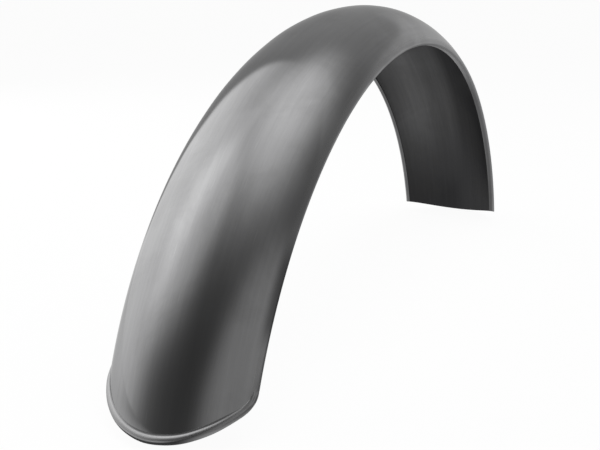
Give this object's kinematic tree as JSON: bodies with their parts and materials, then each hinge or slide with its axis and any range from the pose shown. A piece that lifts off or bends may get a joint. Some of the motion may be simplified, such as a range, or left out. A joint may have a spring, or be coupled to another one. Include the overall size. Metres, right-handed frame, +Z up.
{
  "type": "motorcycle mudguard",
  "caption": "Arched motorcycle mudguard blade of bare sheet steel, with turned-in side lips, a rounded tail edged by a rolled bead and a plain front end.",
  "frame": {"origin": "on the underside of the crown at the top of the arch, midway between the two sides", "axes": "+X along the blade towards the plain front end, +Y along the wheel axle, +Z up and away from the wheel"},
  "size_m": [0.662, 0.1168, 0.2621],
  "materials": {
    "raw_steel": "bare unpainted steel, satin from the rolls"
  },
  "bodies": {
    "root": {"mudguard": "raw_steel"}
  },
  "joints": []
}
